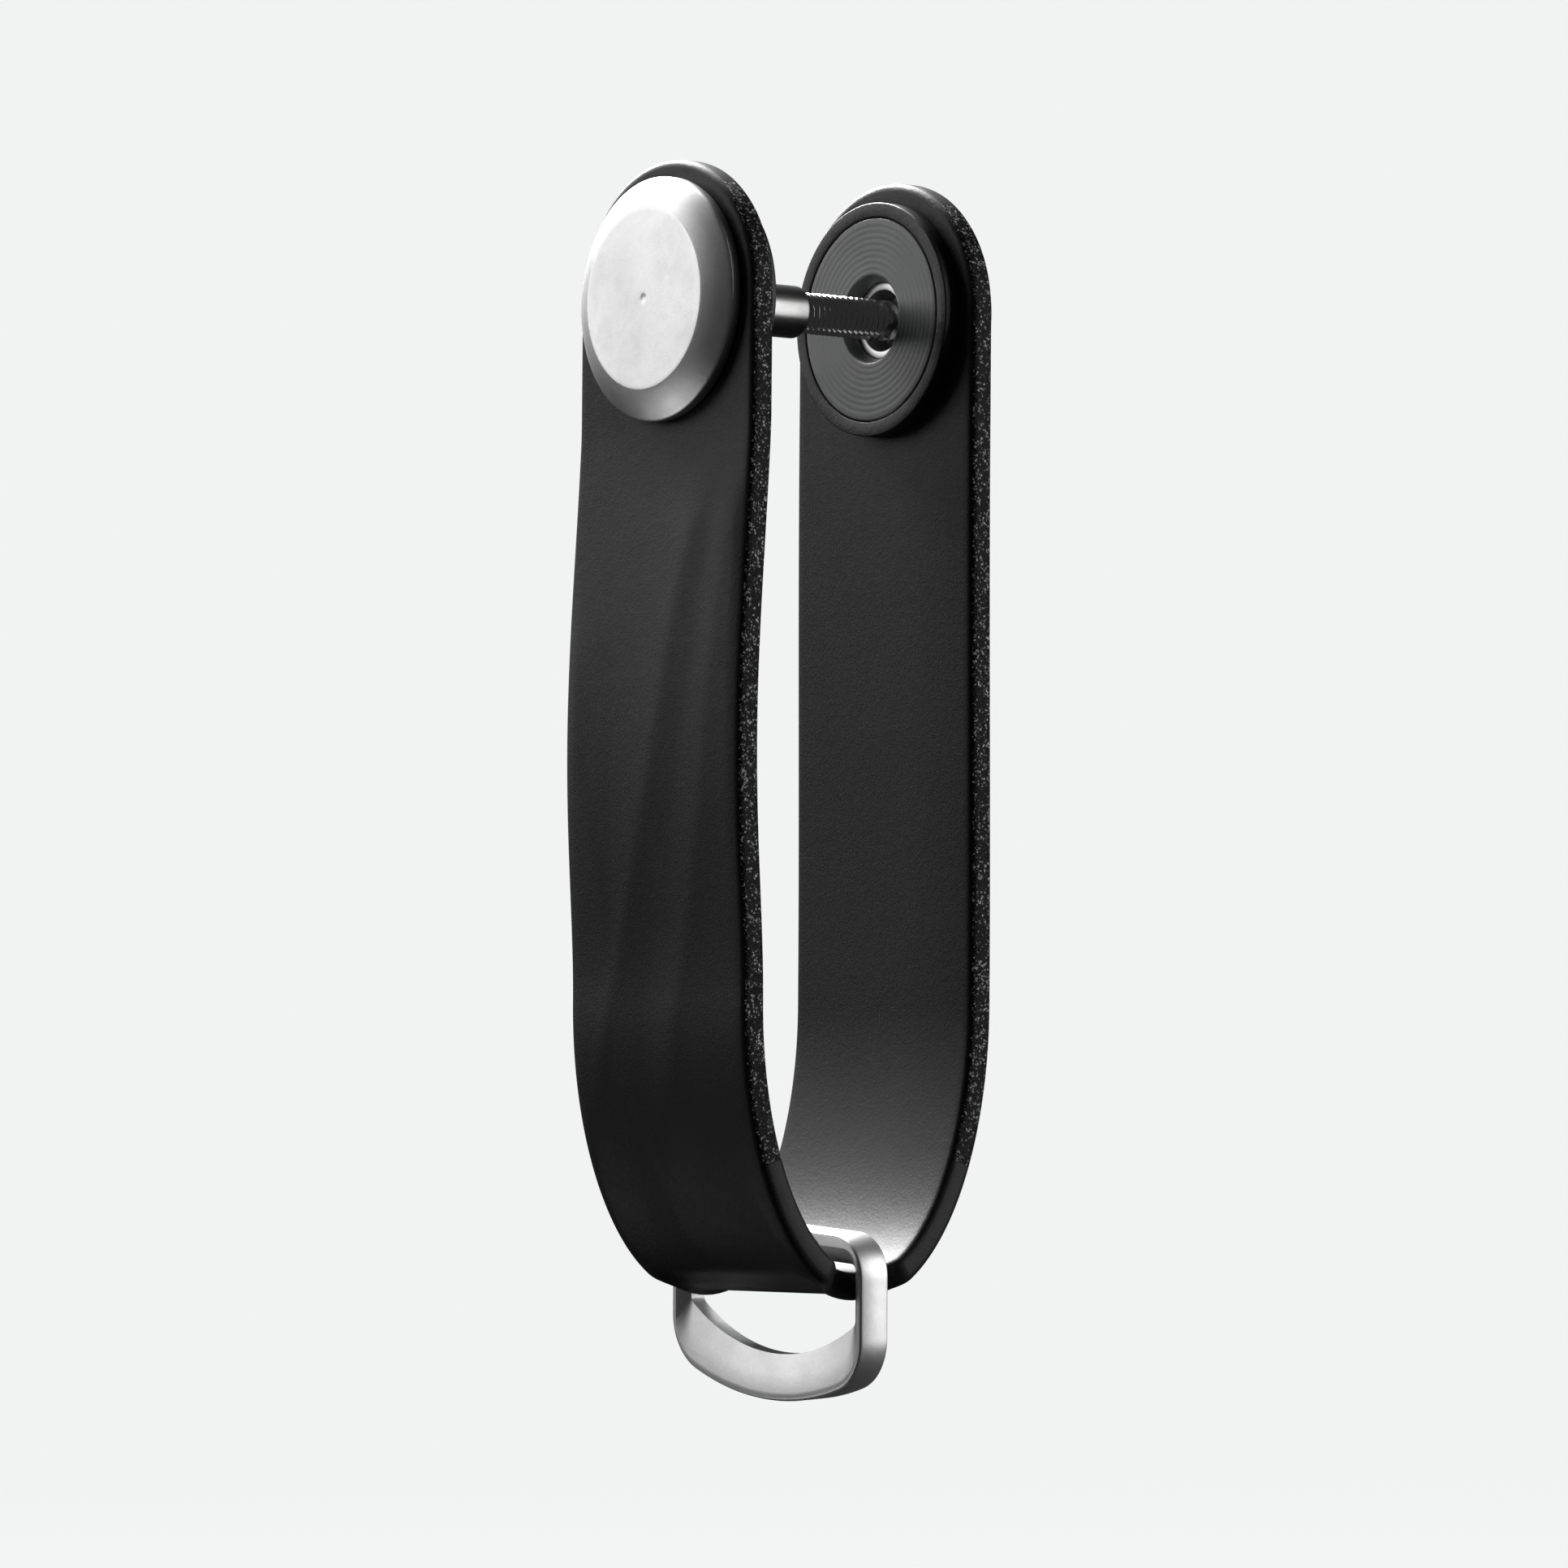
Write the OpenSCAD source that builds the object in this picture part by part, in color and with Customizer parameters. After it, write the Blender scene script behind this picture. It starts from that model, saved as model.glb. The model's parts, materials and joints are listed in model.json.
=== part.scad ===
// Key organiser: a bent elastomer strap closed by a screw post, with a loose ring in its bend.
// The post runs along Y through the origin. The front button is at -Y, the bend is below.

/* [Strap] */
// Width of the strap, across X
strap_w = 20; // [17:0.5:25]
// Thickness of the strap
strap_t = 2; // [1.6:0.1:2.5]
// Clear distance between the two arms at the post
gap = 18.2; // [15:0.2:22]
// Depth of the strap's lowest outer point below the post
drop = 70.4; // [58:0.2:85]
// Height of the elliptical bend at the bottom
bend_h = 20; // [15:0.5:24]
// Amount that each arm spreads between the post and the bend
bow = 0.3; // [0:0.1:0.8]
// Further amount that the front arm bows outwards at its middle
front_bow = 0.95; // [0:0.05:1.4]

/* [Buttons] */
// Radius of a button's rim
button_r = 8.7; // [7.5:0.1:9]
// Width of the chamfer between a button's rim and its flat face
chamfer_w = 2.2; // [1.5:0.1:3]
// Height of a button's flat face above the strap
button_h = 2; // [1.6:0.1:3]
// Height of a button's rim above the strap
rim_h = 0.95; // [0.6:0.05:1.2]

/* [Screw post] */
// Wall of the barrel that turns with the front button
barrel_wall = 0.35; // [0.3:0.05:0.6]
// Distance from the strap's mid-plane to the open end of the barrel
barrel_tip = 0.9; // [-1:0.1:2]
// Radius of the threaded stud, M3
stud_r = 1.5; // [1.4:0.05:1.6]
// Overlap of the stud and the barrel as drawn
engagement = 3.1; // [2.5:0.1:4]

/* [Eyelets] */
// Width of the black eyelet's rim round the disc on each arm's inner face
eyelet_rim = 1.1; // [0.8:0.1:1.5]
// Height of an eyelet above the strap
eyelet_h = 1.3; // [1:0.1:1.6]
// Radius of the dished disc set in the eyelet
disc_r = 7.4; // [6.5:0.1:8.2]
// Amount by which the disc's funnel hole widens to its mouth
mouth_flare = 0.4; // [0.2:0.05:0.8]
// Wall of the eyelet's neck, which passes through the strap
neck_wall = 0.65; // [0.5:0.05:0.8]

/* [Ring] */
// Distance that the D-ring reaches past the strap on each side
ring_over = 0.8; // [0.5:0.1:1.5]
// Outer height of the D-ring
ring_h = 12.6; // [11:0.1:15]
// Thickness of the D-ring, along Y
ring_t = 2.6; // [2.1:0.1:3]
// Height of the ring's straight bar
bar_h = 2.1; // [1.8:0.1:2.5]
// Width of each of the ring's legs
leg_w = 1.45; // [1.2:0.05:1.7]
// Height of the ring's crescent at its middle
crescent_h = 3.3; // [2.6:0.1:3.6]
// Angle by which the loose ring hangs off level
ring_lean = 4; // [0:0.5:4]
// Angle by which the loose ring hangs off plumb
ring_swing = 3.5; // [0:0.5:5]

/* [Hidden] */
$fn = 96;

// Named clearances
run_gap = 0.08;      // barrel turning in its bush
thread_gap = 0.05;   // stud inside the barrel's thread
free_gap = 0.3;      // pieces that move past each other
seat_gap = 0.05;     // button skirt above the strap
flange_gap = 0.2;    // bush flange inside the button's well
clip_play = 0.02;    // clip in the barrel's groove
peg_gap = 0.05;      // eyelet's pegs in the strap
cup_gap = 0.05;      // disc in the eyelet's cup
ring_play = 0.55;    // strap's narrowed waist inside the ring's legs
notch_play = 0.9;    // ring's faces inside the notch, which lets it swing
ring_rest = 0.22;    // ring's bar above the strap
eps = 0.01;
past = 1;            // how far a cutting shape runs past what it cuts

// Strap outline, worked out on the strap's mid-line
arm_y = gap / 2 + strap_t / 2;
mid_a = arm_y + bow;
bend_z = -(drop - strap_t / 2 - bend_h);
flat_end = 1 - strap_w / 2;      // the arms are straight from here up, so that the hardware sits flat
split_z = flat_end - 7;          // plane where the front arm's end becomes its own piece
ring_w = strap_w + 2 * ring_over;
notch_half = ring_w / 2 - leg_w - ring_play;  // strap's half width where the ring's legs pass it
notch_y = ring_t / 2 + notch_play;
notch_flare = 1;
seat_d = 0.4;        // depth of the flat under the bend
seat_half = notch_half - 0.8;
seat_y = 5;          // half length of that flat along Y

function arm_at(z, belly) = let (t = (flat_end - z) / (flat_end - bend_z))
    z > flat_end ? arm_y
    : arm_y + bow * (1 - cos(180 * t)) / 2 + belly * sin(180 * pow(t, 1.2)) * (1 - pow(t, 4));
function half_line(belly) = concat(
    [for (z = [strap_w / 2 + past, flat_end]) [arm_at(z, belly), z]],
    [for (i = [1 : 16]) let (z = flat_end + (bend_z - flat_end) * i / 16) [arm_at(z, belly), z]],
    [for (a = [5 : 5 : 85]) [mid_a * cos(a), bend_z - bend_h * sin(a)]]);
rear_line = half_line(0);
front_line = half_line(front_bow);
mid_line = concat(rear_line, [[0, bend_z - bend_h]],
    [for (i = [len(front_line) - 1 : -1 : 0]) [-front_line[i][0], front_line[i][1]]]);
function unit(v) = v / norm(v);
function normal_at(i) = let (a = mid_line[max(i - 1, 0)], b = mid_line[min(i + 1, len(mid_line) - 1)],
    d = unit(b - a)) [-d[1], d[0]];
function side_line(k) = [for (i = [0 : len(mid_line) - 1]) mid_line[i] + k * normal_at(i)];
function reversed(list) = [for (i = [len(list) - 1 : -1 : 0]) list[i]];

// Hardware, as distances from the strap's mid-plane along the post
inner_y = gap / 2;
outer_y = inner_y + strap_t;
widest_y = outer_y + bow + front_bow;
face_y = outer_y + button_h;
cup_floor = 0.3;
disc_t = eyelet_h - cup_floor;
bore_r = stud_r + thread_gap;
barrel_r = bore_r + barrel_wall;
bush_wall = 0.77;
neck_r = barrel_r + run_gap + bush_wall;
hole_r = neck_r + neck_wall + 0.1;
eyelet_r = disc_r + eyelet_rim;
funnel_r = neck_r + 0.05;    // funnel where it meets the eyelet's neck
peg_x = hole_r + 1.9;        // the two pegs that stop an eyelet turning
peg_r = 0.6;
peg_d = 0.55 * strap_t;
bush_flange_r = neck_r + 2.75;
bush_flange_t = 0.3;
button_flat_r = button_r - chamfer_w;
head_wall = 0.5;
head_edge = 0.12;            // broken edge of a button's rim
bore_end = face_y - head_wall - 0.3;
nose_r = barrel_wall - 0.05;
clip_t = 0.4;
clip_r = barrel_r + 1;
clip_gap = 0.1;
clip_mouth = 1.8;
groove_r = bore_r + 0.15;
spigot_r = barrel_r + free_gap + 0.05;   // bore of the rear button's spigot
stud_tip = barrel_tip - engagement;
stud_chamfer = 0.3;
patch_r = stud_r - 0.2;
patch_t = 1.2;
patch_at = 0.6;              // start of the patch behind the stud's tip

// Ring, drawn in its own plane with the bar's centre line on the origin
bar_drop = (notch_half + 0.2) * sin(ring_lean);
ring_z = -(drop - strap_t) + bar_h / 2 + ring_rest + bar_drop;
bevel_d = 0.72;
leg_rim = 0.35;      // flat rim outside the bevel, on a leg, on the bar and on the crescent
bar_rim = 1;
crescent_rim = 0.55;
arc_rise = 3;        // height of the crescent's inner arc, and what the bevel adds to it
arc_grow = 1.5;
edge_cut = 0.2;      // broken outer edge
top_corner_r = 3;
low_corner_r = 4;
ring_belly_r = 24;

// Places a shape that is drawn upwards from z = 0 on the post, pointing to +Y from y
module on_post(y) {
    translate([0, y, 0]) rotate([-90, 0, 0]) children();
}

// The hardware is drawn for the rear arm; front() mirrors it to the front arm
module front() {
    mirror([0, 1, 0]) children();
}

module ring_of(r_out, r_in, h) {
    difference() {
        cylinder(r = r_out, h = h);
        translate([0, 0, -eps]) cylinder(r = r_in, h = h + 2 * eps);
    }
}

module strap_outline() {
    rotate([90, 0, 90]) linear_extrude(strap_w + 2 * past, center = true)
        polygon(concat(side_line(strap_t / 2), reversed(side_line(-strap_t / 2))));
}

// The strap seen along Y: round at the top, notched where the ring's legs pass
module strap_front_shape() {
    reach = widest_y + past;
    rotate([90, 0, 0]) linear_extrude(2 * reach, center = true) {
        circle(r = strap_w / 2);
        translate([-strap_w / 2, -drop - past]) square([strap_w, drop + past]);
    }
}

module ring_notches() {
    out = strap_w / 2 + past;
    for (side = [-1, 1])
        translate([0, 0, -drop - past]) linear_extrude(bend_h / 2)
            polygon([[side * notch_half, -notch_y], [side * notch_half, notch_y],
                [side * out, notch_y + notch_flare], [side * out, -notch_y - notch_flare]]);
}

module eyelet_holes() {
    for (turn = [0, 180]) rotate([0, 0, turn]) {
        on_post(inner_y - past) cylinder(r = hole_r, h = strap_t + 2 * past);
        for (x = [-peg_x, peg_x])
            translate([x, 0, 0]) on_post(inner_y - past)
                cylinder(r = peg_r + peg_gap, h = past + peg_d + peg_gap, $fn = 32);
    }
}

module whole_strap() {
    difference() {
        intersection() {
            strap_outline();
            strap_front_shape();
        }
        ring_notches();
        eyelet_holes();
        translate([-seat_half, -seat_y, -drop - past]) cube([2 * seat_half, 2 * seat_y, past + seat_d]);
    }
}

// The half-space that holds the front arm's end
module front_end_space() {
    translate([-strap_w, -widest_y - past, split_z]) cube([2 * strap_w, widest_y + past, strap_w - split_z]);
}

module strap_band() {
    color("#1c1c1d") difference() {
        whole_strap();
        translate([0, 0, -free_gap]) front_end_space();
    }
}

module strap_front_end() {
    color("#1c1c1d") intersection() {
        whole_strap();
        front_end_space();
    }
}

// A button's head, from its underside at z = seat_gap up to its flat face
module button_head() {
    rotate_extrude() polygon([[0, seat_gap], [button_r - head_edge, seat_gap],
        [button_r, seat_gap + head_edge], [button_r, rim_h - head_edge], [button_r - head_edge, rim_h],
        [button_flat_r + 4 * head_edge, button_h - head_edge], [button_flat_r, button_h], [0, button_h]]);
}

module front_button() {
    well = bush_flange_t + seat_gap;
    color("#b9b9b6") front() on_post(outer_y) difference() {
        button_head();
        translate([0, 0, -past]) cylinder(r = bush_flange_r + flange_gap, h = past + well);
        translate([0, 0, -past]) cylinder(r = barrel_r, h = past + button_h - head_wall);
    }
}

module front_barrel() {
    length = barrel_tip + face_y - head_wall;
    groove_y = inner_y - eyelet_h - clip_gap - clip_t;
    color("#a4a4a2") difference() {
        translate([0, -face_y + head_wall, 0]) rotate([-90, 0, 0]) rotate_extrude()
            polygon([[0, 0], [barrel_r, 0], [barrel_r, length - nose_r],
                [barrel_r - 0.3 * nose_r, length - 0.3 * nose_r], [barrel_r - nose_r, length], [0, length]]);
        on_post(-bore_end) cylinder(r = bore_r, h = bore_end + barrel_tip + past);
        on_post(-groove_y - clip_t - clip_play) ring_of(barrel_r + past, groove_r, clip_t + 2 * clip_play);
    }
}

// Top-hat bush: its flange lies under the button, its tube lines the eyelet
module front_bush() {
    tube = strap_t + eyelet_h;
    color("#e6e4dc") front() on_post(inner_y - eyelet_h) difference() {
        union() {
            cylinder(r = neck_r, h = tube + bush_flange_t);
            translate([0, 0, tube]) cylinder(r = bush_flange_r, h = bush_flange_t);
        }
        translate([0, 0, -past]) cylinder(r = barrel_r + run_gap, h = tube + 2 * past);
    }
}

// E-clip in the barrel's groove, which keeps the button in the strap
module front_clip() {
    color("#77777a") front() on_post(inner_y - eyelet_h - clip_gap - clip_t) difference() {
        ring_of(clip_r, groove_r, clip_t);
        translate([-clip_mouth / 2, 0, -past]) cube([clip_mouth, clip_r + past, clip_t + 2 * past]);
    }
}

// Black eyelet: a cup for the disc, a neck through the strap and two pegs
module eyelet() {
    color("#202022") on_post(inner_y - eyelet_h) difference() {
        union() {
            cylinder(r = eyelet_r, h = eyelet_h);
            cylinder(r = neck_r + neck_wall, h = eyelet_h + strap_t);
            for (x = [-peg_x, peg_x]) translate([x, 0, eyelet_h / 2])
                cylinder(r = peg_r, h = eyelet_h / 2 + peg_d, $fn = 32);
        }
        translate([0, 0, -past]) cylinder(r = disc_r + cup_gap, h = past + disc_t);
        translate([0, 0, -past]) cylinder(r = neck_r, h = eyelet_h + strap_t + 2 * past);
    }
}

// Dished disc: its hole narrows from the mouth to the eyelet's neck
module disc() {
    edge = 0.1;
    color("#77797b") on_post(inner_y - eyelet_h) rotate_extrude()
        polygon([[funnel_r + mouth_flare, 0], [disc_r - edge, 0], [disc_r, edge], [disc_r, disc_t],
            [funnel_r, disc_t]]);
}

module front_eyelet() {
    front() eyelet();
}

module front_disc() {
    front() disc();
}

module rear_eyelet() {
    eyelet();
}

module rear_disc() {
    disc();
}

// The rear button's spigot is pressed into the eyelet's neck, which clamps the strap between them
module rear_button() {
    spigot = strap_t + cup_floor - 0.1;
    color("#b9b9b6") on_post(outer_y) difference() {
        union() {
            button_head();
            translate([0, 0, -spigot]) cylinder(r = neck_r, h = spigot + rim_h);
        }
        translate([0, 0, -spigot - past]) cylinder(r = spigot_r, h = spigot + past + seat_gap);
        translate([0, 0, -past]) cylinder(r = stud_r, h = past + button_h - head_wall);
    }
}

module rear_stud() {
    length = face_y - head_wall - stud_tip;
    color("#8f8f90") on_post(stud_tip) difference() {
        rotate_extrude() polygon([[0, 0], [stud_r - stud_chamfer, 0], [stud_r, stud_chamfer],
            [stud_r, length], [0, length]]);
        translate([0, 0, patch_at]) ring_of(stud_r + past, patch_r, patch_t);
    }
}

// Nylon locking patch in the stud's groove
module stud_patch() {
    color("#2f6fb5") on_post(stud_tip + patch_at) ring_of(stud_r, patch_r, patch_t);
}

// Outline of the ring: a straight bar, straight legs and a round bottom
module ring_shape(inset) {
    half = ring_w / 2 - inset;
    top = bar_h / 2 - inset;
    low = bar_h / 2 - ring_h + inset;
    top_r = top_corner_r - inset;
    low_r = low_corner_r - inset;
    belly_r = ring_belly_r - inset;
    intersection() {
        union() {
            translate([-half, low + low_r]) square([2 * half, top - low - top_r - low_r]);
            translate([-half + top_r, low + low_r]) square([2 * (half - top_r), top - low - low_r]);
            translate([-half + low_r, low]) square([2 * (half - low_r), top - low - top_r]);
            for (side = [-1, 1]) {
                translate([side * (half - top_r), top - top_r]) circle(r = top_r);
                translate([side * (half - low_r), low + low_r]) circle(r = low_r);
            }
        }
        translate([0, low + belly_r]) circle(r = belly_r);
    }
}

// The ring's opening, grown outwards by the bevel
module opening_shape(grow) {
    half = ring_w / 2 - leg_w + grow * (leg_w - leg_rim);
    top = -bar_h / 2 + grow * (bar_h - bar_rim);
    low = bar_h / 2 - ring_h + crescent_h - grow * (crescent_h - crescent_rim);
    arc_h = arc_rise + arc_grow * grow;
    big_r = (half * half + arc_h * arc_h) / (2 * arc_h);
    intersection() {
        translate([-half, low - past]) square([2 * half, top - low + past]);
        translate([0, low + big_r]) circle(r = big_r);
    }
}

module flat_ring() {
    steps = 3;
    rotate([90, 0, 0]) difference() {
        union() {
            linear_extrude(ring_t, center = true) ring_shape(edge_cut);
            linear_extrude(ring_t - 2 * edge_cut, center = true) ring_shape(0);
        }
        linear_extrude(ring_t + 2 * past, center = true) opening_shape(0);
        for (side = [-1, 1], i = [1 : steps])
            translate([0, 0, side * (ring_t / 2 + past - bevel_d * (1 - (i - 0.5) / steps))])
                linear_extrude(2 * past, center = true) opening_shape(i / steps);
    }
}

module d_ring() {
    color("#bdbdba") translate([0, 0, ring_z]) rotate([0, ring_lean, 0]) rotate([ring_swing, 0, 0]) flat_ring();
}

strap_band();
strap_front_end();
front_button();
front_barrel();
front_bush();
front_clip();
front_eyelet();
front_disc();
rear_eyelet();
rear_disc();
rear_button();
rear_stud();
stud_patch();
d_ring();
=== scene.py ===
# %% [markdown]
# # A pocket key organiser
# One black elastomer strap is bent into a U. A screw post joins its two arms, and the keys hang on the post.
# A loose D-ring sits in the bend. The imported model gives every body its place. This notebook gives each
# piece its final mesh and its finish, working in metres in the same frame: X across the strap, Y along the
# post from the front button to the rear one, Z up.

# %% Load the frame
import json
from math import atan2, cos, exp, hypot, pi, radians, sin, sqrt

import bmesh
import bpy
import numpy as np
from mathutils import Euler, Matrix, Vector


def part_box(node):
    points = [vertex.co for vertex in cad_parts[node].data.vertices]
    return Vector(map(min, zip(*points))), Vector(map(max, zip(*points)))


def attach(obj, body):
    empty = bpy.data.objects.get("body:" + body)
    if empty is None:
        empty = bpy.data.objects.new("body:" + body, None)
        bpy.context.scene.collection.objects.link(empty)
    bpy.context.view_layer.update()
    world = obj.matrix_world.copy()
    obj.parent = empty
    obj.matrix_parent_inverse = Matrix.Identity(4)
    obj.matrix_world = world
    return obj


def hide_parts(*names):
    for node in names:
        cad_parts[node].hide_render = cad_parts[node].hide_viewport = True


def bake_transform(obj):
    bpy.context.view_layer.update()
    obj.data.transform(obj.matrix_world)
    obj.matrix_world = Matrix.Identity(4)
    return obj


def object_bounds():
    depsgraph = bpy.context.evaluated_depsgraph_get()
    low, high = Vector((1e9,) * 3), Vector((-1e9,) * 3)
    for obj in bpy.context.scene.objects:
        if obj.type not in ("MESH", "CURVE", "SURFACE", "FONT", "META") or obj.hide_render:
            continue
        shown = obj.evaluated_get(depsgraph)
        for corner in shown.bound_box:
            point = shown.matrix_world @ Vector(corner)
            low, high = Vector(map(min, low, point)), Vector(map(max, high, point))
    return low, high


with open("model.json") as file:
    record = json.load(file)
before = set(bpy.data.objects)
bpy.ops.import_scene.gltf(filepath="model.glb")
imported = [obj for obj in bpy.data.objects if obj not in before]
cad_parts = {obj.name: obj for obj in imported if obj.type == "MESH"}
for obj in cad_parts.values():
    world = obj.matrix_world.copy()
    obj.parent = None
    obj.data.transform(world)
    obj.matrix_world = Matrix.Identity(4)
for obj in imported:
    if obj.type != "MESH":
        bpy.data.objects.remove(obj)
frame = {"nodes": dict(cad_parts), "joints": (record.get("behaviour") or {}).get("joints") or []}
cad_low, cad_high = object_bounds()
MM = 0.001
print("CAD box", tuple(round(v / MM, 1) for v in cad_high - cad_low), "mm")

# %% [markdown]
# ## Sizes
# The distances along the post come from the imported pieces, so a change in the design moves the visual
# pieces too. Only small details, such as edge rounds, are given here.

# %% Sizes taken from the frame
STRAP_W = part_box("strap_band")[1].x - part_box("strap_band")[0].x
OUTER_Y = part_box("rear_eyelet")[1].y
INNER_Y = -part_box("strap_front_end")[1].y
STRAP_T = OUTER_Y - INNER_Y
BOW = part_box("strap_band")[1].y - OUTER_Y
FRONT_BOW = 0.95 * MM
EYELET_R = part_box("rear_eyelet")[1].x
EYELET_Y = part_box("rear_eyelet")[0].y
DISC_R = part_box("rear_disc")[1].x
BUTTON_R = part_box("rear_button")[1].x
FACE_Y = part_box("rear_button")[1].y
BARREL_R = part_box("front_barrel")[1].x
BARREL_Y = (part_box("front_barrel")[0].y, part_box("front_barrel")[1].y)
STUD_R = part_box("rear_stud")[1].x
STUD_Y = (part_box("rear_stud")[0].y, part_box("rear_stud")[1].y)
BEND_H = 20.0 * MM
SEAT_D = 0.4 * MM
BOTTOM_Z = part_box("strap_band")[0].z - SEAT_D
print(f"strap {STRAP_W / MM:.1f} x {STRAP_T / MM:.1f} mm, arms {2 * INNER_Y / MM:.1f} mm apart")


# %% [markdown]
# ## Small helpers
# A piece's mesh keeps its place in its vertices, so its object stays at the origin. Faces meet smoothly
# below a set angle and stay crisp above it, which is how a turned or moulded part shades.

# %% Mesh and object helpers
def placed(name, bm):
    """Turn a bmesh into a smooth object in the scene."""
    mesh = bpy.data.meshes.new(name)
    bm.to_mesh(mesh)
    bm.free()
    mesh.shade_smooth()
    thing = bpy.data.objects.new(name, mesh)
    bpy.context.scene.collection.objects.link(thing)
    return thing


def add_piece(name, bm, materials, body, replaces=(), sharp=32):
    """A finished piece that rides on a body, or on none."""
    piece = placed(name, bm)
    mesh = piece.data
    mesh.set_sharp_from_angle(angle=radians(sharp))
    for material in materials:
        mesh.materials.append(material)
    if body:
        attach(piece, body)
    if replaces:
        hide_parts(*replaces)
    print(f"{name}: {len(mesh.polygons)} faces")
    return piece


def edge_chain(bm, points, closed=False):
    """Vertices at the points, joined one to the next."""
    verts = [bm.verts.new(p) for p in points]
    pairs = list(zip(verts, verts[1:] + verts[:1] if closed else verts[1:]))
    return verts, [bm.edges.new(p) for p in pairs]


def soften(bm, offset, segments=2, angle=12, keep=lambda edge: True):
    """Bevel the edges where two faces meet at more than the angle."""
    bm.normal_update()
    edges = [e for e in bm.edges if len(e.link_faces) == 2 and e.calc_face_angle(0) > radians(angle)]
    bmesh.ops.bevel(bm, geom=[e for e in edges if keep(e)], offset=offset, segments=segments, profile=0.5,
                    affect="EDGES", material=-1)


def spun(points, axis, steps, merge):
    """Spin a line of points once round an axis through the origin."""
    bm = bmesh.new()
    verts, edges = edge_chain(bm, points)
    bmesh.ops.spin(bm, geom=verts + edges, cent=(0, 0, 0), axis=axis, angle=2 * pi, steps=steps,
                   use_merge=True)
    bmesh.ops.remove_doubles(bm, verts=bm.verts, dist=merge)
    bmesh.ops.recalc_face_normals(bm, faces=bm.faces)
    return bm


def turned(profile, steps=128, round_off=0.0, segments=3):
    """Spin a profile of (radius, y) points once round the post's axis."""
    bm = spun([(r, y, 0) for r, y in profile], (0, 1, 0), steps, 1e-6)
    if round_off:
        soften(bm, round_off, segments)
    return bm


def flipped(profile):
    """The same profile on the front side of the post."""
    return [(r, -y) for r, y in profile]


# %% [markdown]
# ## Shared finish effects
# Three effects appear in more than one finish, so each is a node group: a fine grain, slow changes of
# tone with faint smudges, and the concentric marks that a lathe leaves. They read Object coordinates,
# whose unit is the metre, so a scale of 5000 makes marks about 0.2 mm apart.

# %% Node group helpers
def new_group(name, inputs, outputs):
    """An empty shader node group with named float sockets."""
    group = bpy.data.node_groups.new(name, "ShaderNodeTree")
    for label, value in inputs:
        group.interface.new_socket(label, in_out="INPUT", socket_type="NodeSocketFloat").default_value = value
    for label in outputs:
        group.interface.new_socket(label, in_out="OUTPUT", socket_type="NodeSocketFloat")
    nodes = group.nodes
    return group, nodes, nodes.new("NodeGroupInput"), nodes.new("NodeGroupOutput")


def math_node(tree, operation, a, b):
    """A Math node fed by sockets or plain numbers."""
    node = tree.nodes.new("ShaderNodeMath")
    node.operation = operation
    for socket, value in zip(node.inputs, (a, b)):
        if isinstance(value, (int, float)):
            socket.default_value = value
        else:
            tree.links.new(value, socket)
    return node.outputs[0]


def noise_node(tree, vector, scale, detail=3.0, roughness=0.6):
    """A Noise texture whose scale is a socket or a number."""
    node = tree.nodes.new("ShaderNodeTexNoise")
    tree.links.new(vector, node.inputs["Vector"])
    node.inputs["Detail"].default_value = detail
    node.inputs["Roughness"].default_value = roughness
    if isinstance(scale, (int, float)):
        node.inputs["Scale"].default_value = scale
    else:
        tree.links.new(scale, node.inputs["Scale"])
    return node.outputs["Fac"]


# %% The three shared effects
COARSE_SCALE = 0.31


def make_grain():
    """Fine moulded or blasted grain: bumps of two sizes, and small facets that each have their own level,
    which the edge finish lifts into painted glints.
    """
    tree, nodes, source, out = new_group("Surface grain", [("Scale", 5000.0), ("Coarse", 0.4)],
                                         ["Height", "Facets"])
    place = nodes.new("ShaderNodeTexCoord").outputs["Object"]
    fine = noise_node(tree, place, source.outputs["Scale"], 4.0, 0.65)
    coarse_scale = math_node(tree, "MULTIPLY", source.outputs["Scale"], COARSE_SCALE)
    coarse = noise_node(tree, place, coarse_scale, 2.0, 0.5)
    mixed = math_node(tree, "ADD", fine, math_node(tree, "MULTIPLY", coarse, source.outputs["Coarse"]))
    tree.links.new(mixed, out.inputs["Height"])
    cells = nodes.new("ShaderNodeTexVoronoi")
    tree.links.new(place, cells.inputs["Vector"])
    tree.links.new(source.outputs["Scale"], cells.inputs["Scale"])
    facet = nodes.new("ShaderNodeSeparateColor")
    tree.links.new(cells.outputs["Color"], facet.inputs["Color"])
    tree.links.new(facet.outputs["Red"], out.inputs["Facets"])
    return tree


def make_tone():
    """Slow changes of tone and small patches of handling wear, both from 0 to 1."""
    tree, nodes, _, out = new_group("Tone and wear", [], ["Tone", "Smudge"])
    place = nodes.new("ShaderNodeTexCoord").outputs["Object"]
    tree.links.new(noise_node(tree, place, 90.0, 2.0, 0.5), out.inputs["Tone"])
    patches = noise_node(tree, place, 420.0, 5.0, 0.7)
    level = math_node(tree, "MULTIPLY", math_node(tree, "SUBTRACT", patches, 0.45), 3.0)
    clamp = nodes.new("ShaderNodeClamp")
    tree.links.new(level, clamp.inputs["Value"])
    tree.links.new(clamp.outputs[0], out.inputs["Smudge"])
    return tree


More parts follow.
